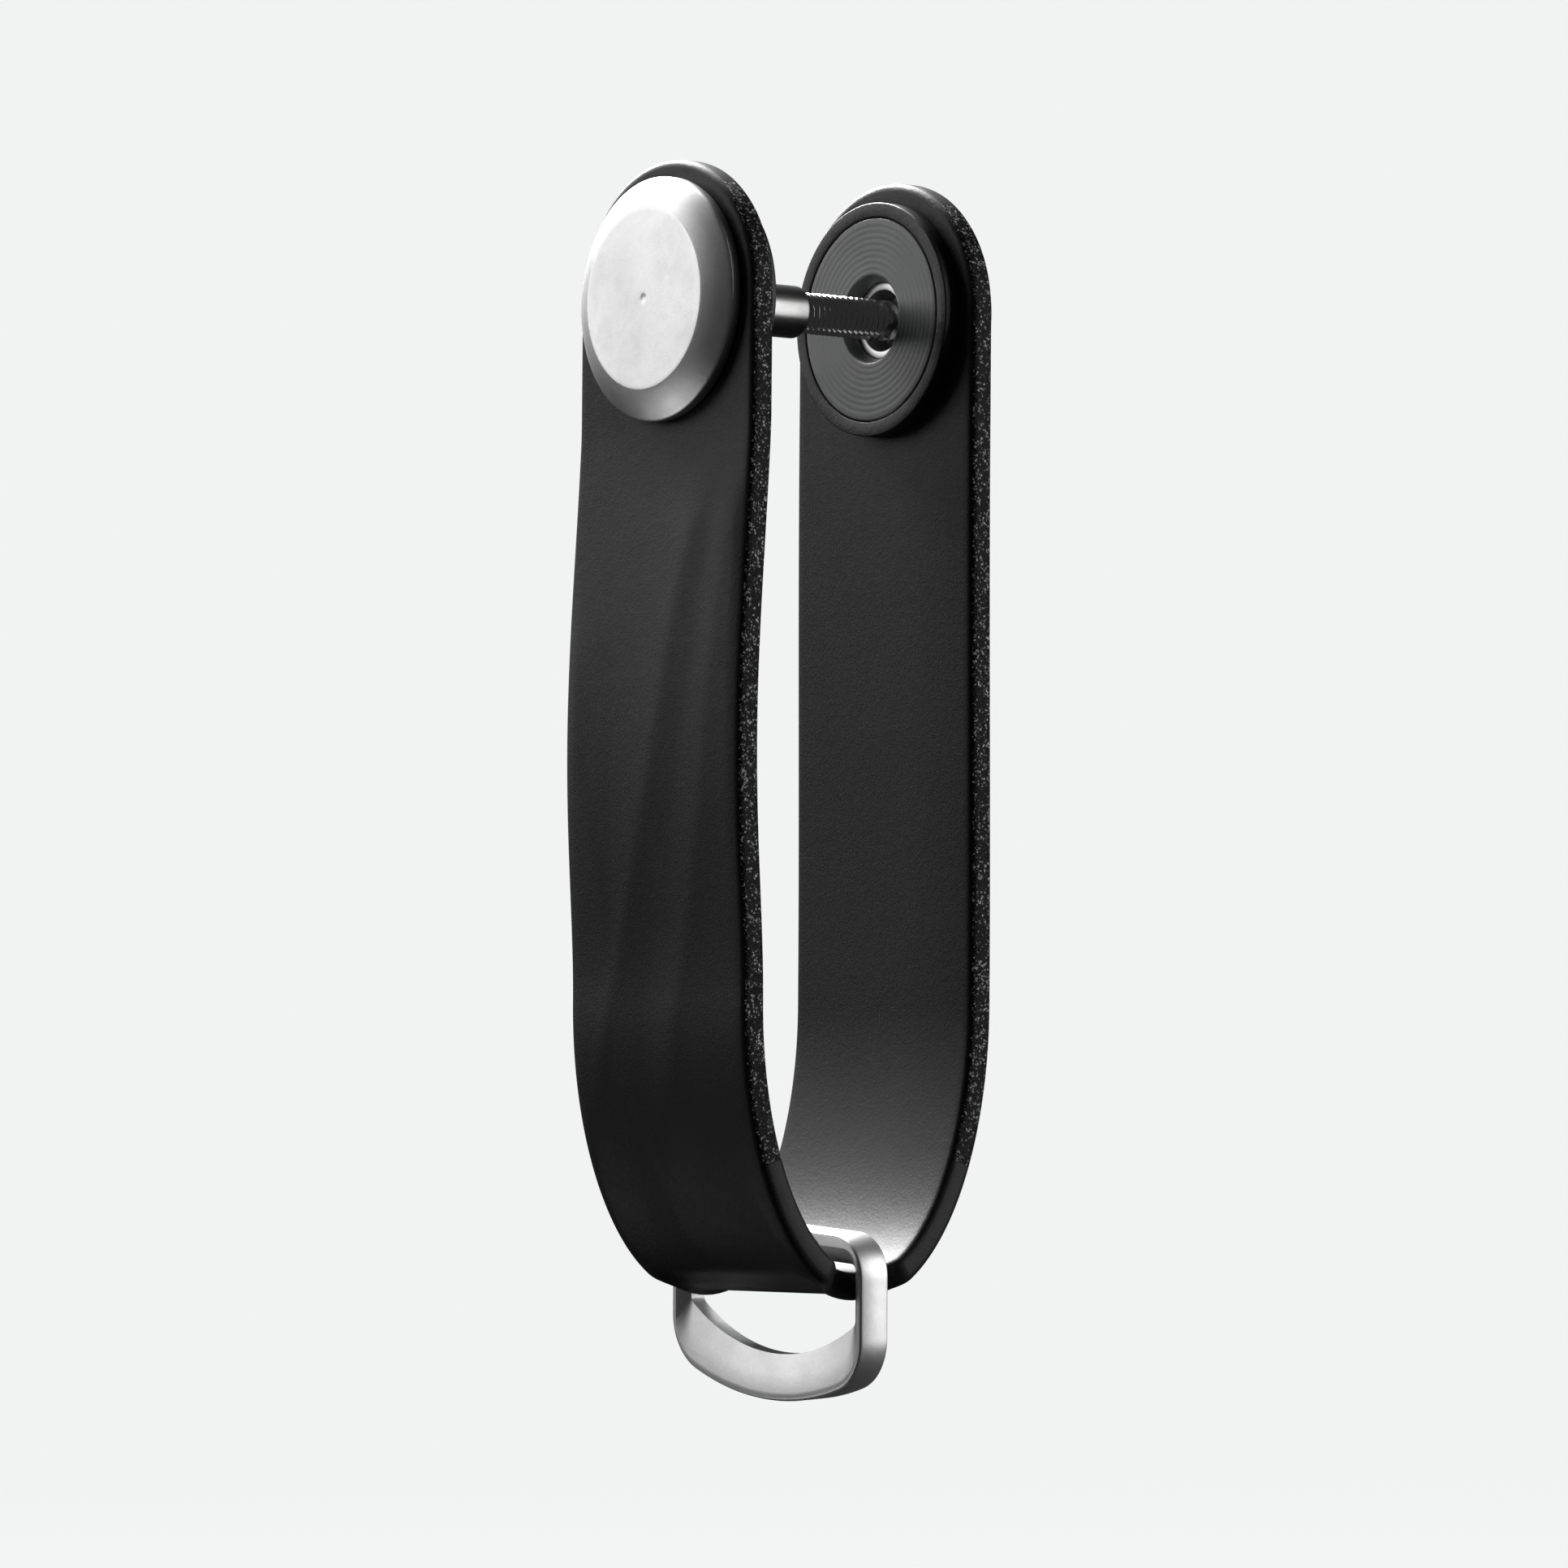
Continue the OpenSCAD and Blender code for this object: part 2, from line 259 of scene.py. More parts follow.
def make_lathe():
    """Concentric tool marks round the post's axis."""
    tree, nodes, source, out = new_group("Lathe marks", [("Pitch", 2600.0)], ["Height"])
    place = nodes.new("ShaderNodeTexCoord").outputs["Object"]
    rings = nodes.new("ShaderNodeTexWave")
    rings.wave_type = "RINGS"
    rings.rings_direction = "Y"
    rings.inputs["Distortion"].default_value = 0.6
    rings.inputs["Detail"].default_value = 2.0
    tree.links.new(place, rings.inputs["Vector"])
    tree.links.new(source.outputs["Pitch"], rings.inputs["Scale"])
    tree.links.new(rings.outputs["Fac"], out.inputs["Height"])
    return tree


GRAIN, TONE, LATHE = make_grain(), make_tone(), make_lathe()


# %% Build one finish
GRAIN_SHARE = 0.36


def finish(name, dark, light, rough, metallic=0.0, grain=(5000.0, 0.4), bump=(0.3, 0.02), lathe=None,
           specular=0.5, ramp=(0.35, 0.65), tone_share=0.5,
           painted_glints=0.0):
    """A Principled finish: colour by tone, grain and facets lifted into painted glints, roughness by smudge,
    bump by grain and marks.
    """
    material = bpy.data.materials.new(name)
    material.use_nodes = True
    tree = material.node_tree
    shader = tree.nodes["Principled BSDF"]
    shader.inputs["Metallic"].default_value = metallic
    shader.inputs["Specular IOR Level"].default_value = specular
    tone = tree.nodes.new("ShaderNodeGroup")
    tone.node_tree = TONE
    pits = tree.nodes.new("ShaderNodeGroup")
    pits.node_tree = GRAIN
    pits.inputs["Scale"].default_value, pits.inputs["Coarse"].default_value = grain
    colour = tree.nodes.new("ShaderNodeValToRGB")
    colour.color_ramp.elements[0].position, colour.color_ramp.elements[1].position = ramp
    colour.color_ramp.elements[0].color, colour.color_ramp.elements[1].color = (*dark, 1), (*light, 1)
    mixed = math_node(tree, "ADD", math_node(tree, "MULTIPLY", tone.outputs["Tone"], tone_share),
                      math_node(tree, "MULTIPLY", pits.outputs["Height"], GRAIN_SHARE))
    # Facets scaled by the glint amount lift bright specks into the colour: painted glints.
    mixed = math_node(tree, "ADD", mixed, math_node(tree, "MULTIPLY", pits.outputs["Facets"], painted_glints))
    tree.links.new(mixed, colour.inputs["Fac"])
    tree.links.new(colour.outputs["Color"], shader.inputs["Base Color"])
    spread = math_node(tree, "MULTIPLY", tone.outputs["Smudge"], rough[1] - rough[0])
    tree.links.new(math_node(tree, "ADD", spread, rough[0]), shader.inputs["Roughness"])
    height = pits.outputs["Height"]
    if lathe:
        marks = tree.nodes.new("ShaderNodeGroup")
        marks.node_tree = LATHE
        marks.inputs["Pitch"].default_value = lathe[0]
        rings = math_node(tree, "MULTIPLY", marks.outputs["Height"], lathe[1])
        height = math_node(tree, "ADD", height, rings)
    node = tree.nodes.new("ShaderNodeBump")
    node.inputs["Strength"].default_value = bump[0]
    node.inputs["Distance"].default_value = bump[1] * MM
    tree.links.new(height, node.inputs["Height"])
    tree.links.new(node.outputs["Normal"], shader.inputs["Normal"])
    return material


# %% [markdown]
# ## Finishes
# The strap is a matte elastomer with a fine spark-eroded grain, and its side edge is coarser, with its
# sparkle painted into its colour as bright glints.
# The buttons and the ring are bead-blasted silver. The barrel is turned steel, the stud a bright rolled
# thread, and the disc is dark satin grey with lathe marks, in a grainy black eyelet.

# %% All finishes
STRAP = finish("strap_elastomer", (0.009, 0.009, 0.009), (0.016, 0.016, 0.0155), (0.5, 0.54),
               grain=(5600.0, 0.6), bump=(0.55, 0.04), specular=0.2)
# The edge's bright specks are painted glints, laid over its real coarse grain and bump.
STRAP_EDGE = finish("strap_edge_grain_painted_glints", (0.003, 0.003, 0.003), (0.62, 0.62, 0.65), (0.36, 0.46),
                    grain=(8200.0, 1.2), bump=(0.8, 0.08), specular=0.12, ramp=(0.86, 1.0),
                    tone_share=0.1, painted_glints=0.5)
SILVER = finish("blasted_silver", (0.56, 0.562, 0.56), (0.68, 0.682, 0.68), (0.46, 0.52), 1.0,
                grain=(9000.0, 0.5), bump=(0.35, 0.02))
STEEL = finish("satin_steel", (0.17, 0.17, 0.168), (0.23, 0.23, 0.227), (0.34, 0.40), 1.0,
               grain=(7000.0, 0.3), bump=(0.15, 0.01))
THREAD = finish("stud_steel", (0.46, 0.46, 0.46), (0.56, 0.56, 0.56), (0.12, 0.20), 1.0,
                grain=(7000.0, 0.3), bump=(0.1, 0.01))
DISC = finish("grey_disc", (0.060, 0.063, 0.063), (0.082, 0.086, 0.086), (0.36, 0.42), 0.0,
              grain=(5200.0, 0.3), bump=(0.35, 0.012), lathe=(700.0, 1.6), specular=0.4)
EYELET = finish("black_eyelet", (0.008, 0.008, 0.008), (0.018, 0.018, 0.018), (0.4, 0.5),
                grain=(5200.0, 0.9), bump=(0.6, 0.05), specular=0.25)
ACETAL = finish("white_acetal", (0.7, 0.69, 0.64), (0.8, 0.79, 0.75), (0.35, 0.45))
CLIP = finish("spring_steel", (0.16, 0.16, 0.17), (0.26, 0.26, 0.28), (0.3, 0.4), 1.0)
FINISHES = (STRAP, STRAP_EDGE, SILVER, STEEL, THREAD, DISC, EYELET, ACETAL, CLIP)
print("finishes:", ", ".join(material.name for material in FINISHES))


# %% [markdown]
# ## The strap's path
# The strap is a flat blank wrapped round a former. Half of its mid-line is a straight stretch beside the
# post, a slight bow, and a quarter of an ellipse at the bend. The front arm also swells outwards below its
# button. A dense line of points gives the place and the outward direction at any distance from the bend's
# lowest point.

# %% The mid-line of the bent strap
FLAT_END = MM - STRAP_W / 2
ARM_Y = INNER_Y + STRAP_T / 2
MID_LOW = BOTTOM_Z + STRAP_T / 2
BEND_Z = MID_LOW + BEND_H
MID_A = ARM_Y + BOW
BEND_POINTS, ARM_POINTS = 400, 700


def arm_at(z, belly):
    """Distance of an arm's mid-line from the strap's mid-plane at a height above the bend."""
    if z > FLAT_END:
        return ARM_Y
    t = (FLAT_END - z) / (FLAT_END - BEND_Z)
    return ARM_Y + BOW * (1 - cos(pi * t)) / 2 + belly * sin(pi * t ** 1.2) * (1 - t ** 4)


def half_path(belly):
    """Points from the bend's lowest point up one arm, with the distance along and the direction at each."""
    bend = [(MID_A * sin(a), BEND_Z - BEND_H * cos(a)) for a in np.linspace(0, pi / 2, BEND_POINTS)]
    arm = [(arm_at(z, belly), z) for z in np.linspace(BEND_Z, STRAP_W, ARM_POINTS)[1:]]
    points = np.array(bend + arm)
    along = np.concatenate([[0], np.cumsum(np.hypot(*np.diff(points, axis=0).T))])
    return points, along, np.gradient(points, along, axis=0)


PATHS = {1: half_path(0.0), -1: half_path(FRONT_BOW)}
POST_AT = {side: float(np.interp(0, path[0][:, 1], path[1])) for side, path in PATHS.items()}
print(f"from the bend to the post the front arm is {POST_AT[-1] / MM:.1f} mm long")


def wrapped(x, along, height):
    """Where a point of the flat blank goes: negative lengths run up the front arm."""
    side = -1 if along < 0 else 1
    points, reach, tangent = PATHS[side]
    y, z = (float(np.interp(abs(along), reach, points[:, k])) for k in (0, 1))
    ty, tz = (float(np.interp(abs(along), reach, tangent[:, k])) for k in (0, 1))
    size = hypot(ty, tz)
    return Vector((x, side * (y + height * tz / size), z - height * ty / size))


# %% [markdown]
# ## Low folds on the front
# Very low folds cross the lower half of the front arm, as if the mould had been folded from paper. Each is
# a soft ridge along a line of a few points, given as (across, height) on the strap. The outer face also
# has a shallow flat under the bend, between two low rails.

# %% Relief on the outer face
FOLDS = [
    (0.28, [(5.2, -12), (3.1, -19), (0.4, -32), (-4.5, -48), (-8.8, -62), (-9.8, -66)]),
    (0.24, [(8.0, -14), (7.1, -23), (5.8, -35), (3.7, -45), (1.5, -54), (-1.4, -64)]),
    (0.24, [(-9.8, -26), (-8.1, -34), (-6.0, -43), (-4.0, -54), (-2.0, -60), (-1.0, -66)]),
    (0.15, [(-1.5, -33), (0.0, -38), (2.4, -45), (4.2, -53), (8.1, -63), (9.6, -67)]),
]
FOLD_WIDTH = 3.2
FOLD_SOFT = 0.3


def distance_to_line(x, z, points):
    """Distance in millimetres from a point to a line of short stretches."""
    best = 1e9
    for (x0, z0), (x1, z1) in zip(points, points[1:]):
        dx, dz = x1 - x0, z1 - z0
        t = min(max(((x - x0) * dx + (z - z0) * dz) / (dx * dx + dz * dz), 0), 1)
        best = min(best, hypot(x - x0 - t * dx, z - z0 - t * dz))
    return best


def smooth(value, low, high):
    """0 below low, 1 above high, and an even curve between."""
    t = min(max((value - low) / (high - low), 0), 1)
    return t * t * (3 - 2 * t)


def relief(x, along):
    """Height to add to the outer face of the flat blank, in metres."""
    x, along = x / MM, along / MM
    flat = SEAT_D / MM * (1 - smooth(abs(x), 7.7, 8.3)) * (1 - smooth(abs(along), 3.0, 5.0))
    fold = 0.0
    if along < -2:
        z = wrapped(0, along * MM, 0).z / MM
        for size, points in FOLDS:
            gap = distance_to_line(x, z, points)
            fold = max(fold, size * exp(-(sqrt(gap * gap + FOLD_SOFT ** 2) - FOLD_SOFT) / FOLD_WIDTH))
        fold *= smooth(-z, 11, 17) * (1 - smooth(abs(x), 8.8, 9.6)) * smooth(-along, 2, 8)
    return (fold - flat) * MM


# %% [markdown]
# ## The strap
# The blank is drawn flat: straight sides, round ends and a notch on each side where the ring's legs pass.
# It is extruded to its thickness, its rims are bevelled, and planes cut it into a fine net. Then each
# vertex is wrapped round the former. Cutting first and bending last keeps the rims even all round.

# %% Draw the flat blank
HALF_W = STRAP_W / 2
NOTCH_X = 8.8 * MM
NOTCH_ALONG = (2.2 * MM, 3.4 * MM)
NOTCH_ROUND = 0.5 * MM
END_STEPS = 48


def arm_outline(side):
    """The edge of one arm on +X, from its round end to the notch."""
    turn = [pi / 2 * k / END_STEPS for k in range(END_STEPS + 1)]
    end = [(HALF_W * sin(a), side * (POST_AT[side] + HALF_W * cos(a))) for a in turn]
    return end + [(HALF_W, side * NOTCH_ALONG[1]), (NOTCH_X, side * NOTCH_ALONG[0])]


def blank_outline():
    """The blank's edge on +X, from the end of the front arm to the end of the rear arm."""
    return arm_outline(-1) + arm_outline(1)[::-1]


right = blank_outline()
left = [(-x, y) for x, y in reversed(right[1:-1])]
bm = bmesh.new()
outline, _ = edge_chain(bm, [(x, y, -STRAP_T / 2) for x, y in right + left], closed=True)
corners = [v for v in outline if abs(v.co.y) < 1.01 * NOTCH_ALONG[1]]
bmesh.ops.bevel(bm, geom=corners, offset=NOTCH_ROUND, segments=4, profile=0.5, affect="VERTICES", material=-1)
bmesh.ops.edgenet_fill(bm, edges=bm.edges)
raised = bmesh.ops.extrude_face_region(bm, geom=bm.faces[:])["geom"]
bmesh.ops.translate(bm, verts=[g for g in raised if isinstance(g, bmesh.types.BMVert)], vec=(0, 0, STRAP_T))
bmesh.ops.recalc_face_normals(bm, faces=bm.faces)
print("flat blank:", len(bm.faces), "faces")

# %% Round the rims and cut the net
RIM_ROUND = 0.56 * MM
FINE_NET, FRONT_NET, REAR_NET = 0.5, 0.8, 1.2
GRAIN_AND_GLINTS_FROM = 13 * MM


def is_rim(edge):
    """An edge that lies in the blank's upper or lower face."""
    a, b = (v.co.z for v in edge.verts)
    return abs(a - b) < 1e-7


soften(bm, RIM_ROUND, segments=4, angle=60, keep=is_rim)


def cut(bm, place, normal):
    """Slice every face by a plane."""
    geom = bm.verts[:] + bm.edges[:] + bm.faces[:]
    bmesh.ops.bisect_plane(bm, geom=geom, dist=1e-7, plane_co=place, plane_no=normal)


front_cuts = np.arange(-POST_AT[-1] / MM - 9, -34.4, FRONT_NET)
rear_cuts = np.arange(34.8, POST_AT[1] / MM + 9, REAR_NET)
for along in np.concatenate([front_cuts, np.arange(-34, 34.01, FINE_NET), rear_cuts]) * MM:
    cut(bm, (0, along, 0), (0, 1, 0))
for x in np.arange(-9, 9.01, FINE_NET) * MM:
    cut(bm, (x, 0, 0), (1, 0, 0))
# Side faces away from the bend get the edge finish: real coarse grain plus painted glints.
for f in bm.faces:
    f.material_index = 1 if abs(f.normal.x) > 0.6 and abs(f.calc_center_median().y) > GRAIN_AND_GLINTS_FROM else 0
print("net:", len(bm.faces), "faces")

# %% Open the two eyelet holes
HOLE_R = 3.5 * MM


def open_hole(bm, along):
    """Remove the net inside a circle, pull its edge onto the circle, and wall the hole."""
    def away(p):
        return hypot(p.x, p.y - along)

    gone = [f for f in bm.faces if away(f.calc_center_median()) < HOLE_R and abs(f.normal.z) > 0.9]
    bmesh.ops.delete(bm, geom=gone, context="FACES")
    rim = [e for e in bm.edges if len(e.link_faces) == 1]
    for v in {v for e in rim for v in e.verts}:
        scale = HOLE_R / away(v.co)
        v.co.x, v.co.y = v.co.x * scale, along + (v.co.y - along) * scale
    bmesh.ops.bridge_loops(bm, edges=rim)


for side in (-1, 1):
    open_hole(bm, side * POST_AT[side])

# %% Wrap the blank round the former
def wrapped_half(blank, side):
    """One arm and its half of the bend, closed where the halves meet, wrapped round the former."""
    bm = blank.copy()
    other = [f for f in bm.faces if f.calc_center_median().y * side < 0]
    bmesh.ops.delete(bm, geom=other, context="FACES")
    bmesh.ops.holes_fill(bm, edges=[e for e in bm.edges if len(e.link_faces) == 1], sides=0)
    for v in bm.verts:
        x, along, height = v.co
        added = relief(x, along) if height > 0.3 * STRAP_T else 0.0
        v.co = wrapped(x, along or side * 1e-12, height + added)
    bmesh.ops.recalc_face_normals(bm, faces=bm.faces)
    return bm


add_piece("strap_rear_arm", wrapped_half(bm, 1), [STRAP, STRAP_EDGE], "strap",
          replaces=["strap_band"], sharp=50)
front_arm = add_piece("strap_front_arm", wrapped_half(bm, -1), [STRAP, STRAP_EDGE], None,
                      replaces=["strap_front_end", "strap_band"], sharp=50)
bm.free()
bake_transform(front_arm)

# %% [markdown]
# ## Buttons
# Each button is a shallow turned head: a flat face, a broad soft chamfer, a crisp rim and a short skirt.
# A profile is spun round the post's axis, and the bevel operator softens every turned corner. The front
# face is left plain, with only the small centre mark of the lathe.

# %% Front and rear buttons
FLAT_R = 6.5 * MM
RIM_H = 0.95 * MM
RIM_BREAK = 0.12 * MM
SKIRT_GAP = 0.05 * MM
SKIRT_Y = OUTER_Y + SKIRT_GAP
CHAMFER_SWELL = 0.07 * MM


def chamfer_points(count=8):
    """The broad chamfer, swelling slightly between the flat and the rim."""
    low, high = Vector((BUTTON_R - RIM_BREAK, OUTER_Y + RIM_H)), Vector((FLAT_R, FACE_Y))
    out = Vector((high.y - low.y, low.x - high.x)).normalized()
    return [high.lerp(low, k / count) + out * CHAMFER_SWELL * sin(pi * k / count) for k in range(1, count)]


head = [(0, FACE_Y - 0.06 * MM), (0.15 * MM, FACE_Y - 0.05 * MM), (0.35 * MM, FACE_Y)]
head += [(0.6 * MM, FACE_Y), (FLAT_R - 0.3 * MM, FACE_Y), (FLAT_R, FACE_Y)]
head += [tuple(p) for p in chamfer_points()]
head += [(BUTTON_R - RIM_BREAK, OUTER_Y + RIM_H), (BUTTON_R, OUTER_Y + RIM_H - RIM_BREAK)]
head += [(BUTTON_R, OUTER_Y + 0.15 * MM), (BUTTON_R - RIM_BREAK, SKIRT_Y)]
WELL_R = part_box("front_bush")[1].x + 0.2 * MM
WELL_Y = OUTER_Y + 0.35 * MM
front_under = [(WELL_R, SKIRT_Y), (WELL_R, WELL_Y), (BARREL_R, WELL_Y), (BARREL_R, -BARREL_Y[0]),
               (0, -BARREL_Y[0])]
add_piece("front_button_head", turned(flipped(head + front_under), round_off=0.05 * MM, segments=2), [SILVER],
          "screw_button", ["front_button"])
NECK_R = 2.75 * MM
SPIGOT_Y = OUTER_Y - 2.2 * MM
SPIGOT_BORE = BARREL_R + 0.35 * MM
rear_under = [(NECK_R, SKIRT_Y), (NECK_R, SPIGOT_Y), (SPIGOT_BORE, SPIGOT_Y), (SPIGOT_BORE, SKIRT_Y),
              (STUD_R, SKIRT_Y), (STUD_R, STUD_Y[1]), (0, STUD_Y[1])]
add_piece("rear_button_head", turned(head + rear_under, round_off=0.05 * MM, segments=2), [SILVER],
          "strap", ["rear_button"])

# %% [markdown]
# ## The screw post
# The barrel is a turned tube with a round nose. The stud's thread is a true helix: one pitch of the thread's
# outline is spun many turns while it moves along the axis, so each turn meets the next.

# %% Barrel
BORE_R = STUD_R + 0.05 * MM
NOSE_R = 0.42 * MM
CLIP_PLAY = 0.02 * MM
back, tip = BARREL_Y
nose_turn = np.linspace(0, pi / 2, 7)
nose = [(BARREL_R - NOSE_R * (1 - cos(a)), tip - NOSE_R * (1 - sin(a))) for a in nose_turn]
GROOVE = (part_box("front_clip")[0].y - CLIP_PLAY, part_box("front_clip")[1].y + CLIP_PLAY)
GROOVE_R = BARREL_R - 0.2 * MM
barrel_out = [(0, back), (BARREL_R, back), (BARREL_R, GROOVE[0]), (GROOVE_R, GROOVE[0]),
              (GROOVE_R, GROOVE[1]), (BARREL_R, GROOVE[1])]
bore_end = -FACE_Y + 0.8 * MM
barrel_in = [(BORE_R + 0.08 * MM, tip), (BORE_R, tip - 0.2 * MM), (BORE_R, bore_end), (0, bore_end)]
add_piece("screw_barrel", turned(barrel_out + nose + barrel_in, steps=96), [STEEL],
          "screw_button", ["front_barrel"])

# %% Threaded stud
PITCH = 0.5 * MM
THREAD_DEPTH = 0.29 * MM
TURN_STEPS = 40


def threaded_stud():
    """A rolled M3 thread from the stud's tip to its seat in the rear button."""
    turns = int((STUD_Y[1] - STUD_Y[0]) / PITCH)
    low = STUD_Y[1] - turns * PITCH
    crest, root = STUD_R - 0.012 * MM, STUD_R - THREAD_DEPTH
    shape = [(root, 0), (root, 0.09), (crest, 0.43), (crest, 0.57), (root, 0.91), (root, 1)]
    bm = bmesh.new()
    verts, edges = edge_chain(bm, [(r, low + t * PITCH, 0) for r, t in shape])
    steps = (turns - 1) * TURN_STEPS
    bmesh.ops.spin(bm, geom=verts + edges, cent=(0, 0, 0), axis=(0, 1, 0), angle=2 * pi * (turns - 1),
                   dvec=(0, (turns - 1) * PITCH / steps, 0), steps=steps, use_merge=False)
    bmesh.ops.remove_doubles(bm, verts=bm.verts, dist=0.004 * MM)
    bmesh.ops.holes_fill(bm, edges=[e for e in bm.edges if len(e.link_faces) == 1], sides=0)
    bmesh.ops.triangulate(bm, faces=[f for f in bm.faces if len(f.verts) > 4])
    bmesh.ops.recalc_face_normals(bm, faces=bm.faces)
    return bm


add_piece("threaded_stud", threaded_stud(), [THREAD], "strap", ["rear_stud", "stud_patch"],
          sharp=60)

# %% [markdown]
# ## Eyelets and discs
# A black eyelet lines each hole, and a grey disc is set in its cup, so that keys slide on a hard face. The
# disc's hole is a funnel: at the rear it narrows to the spigot that the barrel enters as the arms close.

# %% Eyelet and disc on each side
CUP_Y = EYELET_Y + 1.0 * MM
NECK_OUT = NECK_R + 0.65 * MM
MOUTH_R = 3.2 * MM
eyelet = [(NECK_R, CUP_Y), (DISC_R + 0.05 * MM, CUP_Y), (DISC_R + 0.05 * MM, EYELET_Y), (EYELET_R, EYELET_Y),
          (EYELET_R, INNER_Y), (NECK_OUT, INNER_Y), (NECK_OUT, OUTER_Y), (NECK_R, OUTER_Y), (NECK_R, CUP_Y)]
DISC_BORE = NECK_R + 0.05 * MM
disc = [(DISC_BORE, CUP_Y), (MOUTH_R, EYELET_Y + 0.02 * MM), (MOUTH_R + 0.1 * MM, EYELET_Y),
        (MOUTH_R + 0.3 * MM, EYELET_Y), (DISC_R - 0.3 * MM, EYELET_Y), (DISC_R - 0.1 * MM, EYELET_Y),
        (DISC_R, EYELET_Y + 0.1 * MM), (DISC_R, CUP_Y), (DISC_BORE, CUP_Y)]
for side, body, place in (("rear", "strap", list), ("front", "front_end", flipped)):
    ring = turned(place(eyelet), round_off=0.1 * MM, segments=3)
    add_piece(f"{side}_eyelet_ring", ring, [EYELET], body, [f"{side}_eyelet"])
    plate = turned(place(disc), round_off=0.035 * MM, segments=2)
    add_piece(f"{side}_dished_disc", plate, [DISC], body, [f"{side}_disc"])

# %% [markdown]
# ## The D-ring
# The ring is a cast loop with a wide bevel on both faces round its opening. Closed outlines are laid at
# the depths where the section turns, all with the same count of points, and bridged one to the next.
# The ring hangs slightly askew, so the outlines are drawn square and then turned about the bar.

# %% Outlines of the ring
RING_JOINT = next(j for j in frame["joints"] if j["name"] == "ring_swing")
RING_AT = Vector(RING_JOINT["pos_m"])
RING_LEAN = atan2(-RING_JOINT["axis"][2], RING_JOINT["axis"][0])
RING_SWING = radians(3.5)
RING_T = 2.6 * MM
BAR = 2.1 * MM
RING_H = 12.6 * MM
RING_HALF = 10.8 * MM
LEG_W, CRESCENT_H = 1.45 * MM, 3.3 * MM
PER_STRETCH = 16


def arc(cx, cz, r, start, end, count=PER_STRETCH):
    """Points on an arc, angles in degrees, without the last one."""
    angles = [radians(start + (end - start) * k / count) for k in range(count)]
    return [(cx + r * cos(a), cz + r * sin(a)) for a in angles]


def ring_outline(half, top, low, top_r, low_r, belly_r, depth):
    """A closed D outline: bar, corners, legs and a round belly, at one depth through the ring."""
    reach = half - low_r
    inner_r = belly_r - low_r
    meet = atan2(-sqrt(inner_r ** 2 - reach ** 2), reach) if inner_r > reach else -pi / 2
    belly_z = low + belly_r
    corner_z = belly_z + inner_r * sin(meet)
    turn = meet * 180 / pi
    points = arc(half - top_r, top - top_r, top_r, 90, 0)
    points += [(half, top - top_r + (corner_z - top + top_r) * k / PER_STRETCH) for k in range(PER_STRETCH)]
    points += arc(reach, corner_z, low_r, 0, turn)
    points += arc(0, belly_z, belly_r, turn, -180 - turn, 2 * PER_STRETCH)
    points += arc(-reach, corner_z, low_r, -180 - turn, -180)
    points += [(-half, corner_z + (top - top_r - corner_z) * k / PER_STRETCH) for k in range(PER_STRETCH)]
    points += arc(-half + top_r, top - top_r, top_r, 180, 90)
    points += [((-half + top_r) + 2 * (half - top_r) * k / PER_STRETCH, top) for k in range(PER_STRETCH)]
    return [(x, depth, z) for x, z in points]


TOP, LOW = BAR / 2, BAR / 2 - RING_H
OPEN_HALF = RING_HALF - LEG_W
OPEN_TOP, OPEN_LOW = -BAR / 2, LOW + CRESCENT_H
FRONT = -RING_T / 2
BEVEL_D = 0.72 * MM
EDGE_ROUND = 0.28 * MM


def ring_levels():
    """The section from the outer edge over the front rim and bevel to the opening's wall."""
    outer = dict(half=RING_HALF, top=TOP, low=LOW, top_r=3 * MM, low_r=4 * MM, belly_r=24 * MM)
    small = EDGE_ROUND

    def inset(d):
        return {k: v + (d if k == "low" else -d) for k, v in outer.items()}

    rim = dict(half=RING_HALF - 0.5 * MM, top=TOP - 0.95 * MM, low=LOW + 0.62 * MM, top_r=1.6 * MM,
               low_r=3.3 * MM, belly_r=23.4 * MM)
    wall = dict(half=OPEN_HALF, top=OPEN_TOP, low=OPEN_LOW, top_r=0.5 * MM, low_r=0.6 * MM, belly_r=16.5 * MM)
    edge = [ring_outline(depth=FRONT + small * (1 - sin(a)), **inset(small * (1 - cos(a))))
            for a in (0, pi / 6, pi / 3, pi / 2)]
    middle = {k: 0.5 * (rim[k] + wall[k]) for k in rim}
    return edge + [ring_outline(depth=FRONT + 0.02 * MM, **rim),
                   ring_outline(depth=FRONT + 0.33 * MM, **middle),
                   ring_outline(depth=FRONT + BEVEL_D, **wall)]


# %% Bridge the outlines and hang the ring
def bridged(bm, loops):
    """Join each closed loop of edges to the next, and the last to the first."""
    for a, b in zip(loops, loops[1:] + loops[:1]):
        bmesh.ops.bridge_loops(bm, edges=a + b)


front_levels = ring_levels()
rear_levels = [[(x, -y, z) for x, y, z in level] for level in reversed(front_levels)]
bm = bmesh.new()
bridged(bm, [edge_chain(bm, level, closed=True)[1] for level in front_levels + rear_levels])
bmesh.ops.recalc_face_normals(bm, faces=bm.faces)
hang = Matrix.Translation(RING_AT) @ Euler((0, RING_LEAN, 0)).to_matrix().to_4x4()
bmesh.ops.transform(bm, matrix=hang @ Euler((RING_SWING, 0, 0)).to_matrix().to_4x4(), verts=bm.verts)
add_piece("hanging_d_ring", bm, [SILVER], "ring", ["d_ring"], sharp=24)

# %% [markdown]
# ## Hidden pieces
# The bush and the clip keep their CAD shapes, which are right, and get real finishes.

# %% Finishes on the pieces that keep their CAD shape
for node, material in (("front_bush", ACETAL), ("front_clip", CLIP)):
    piece = frame["nodes"][node]
    piece.data.materials.clear()
    piece.data.materials.append(material)
    print(node, "->", material.name)

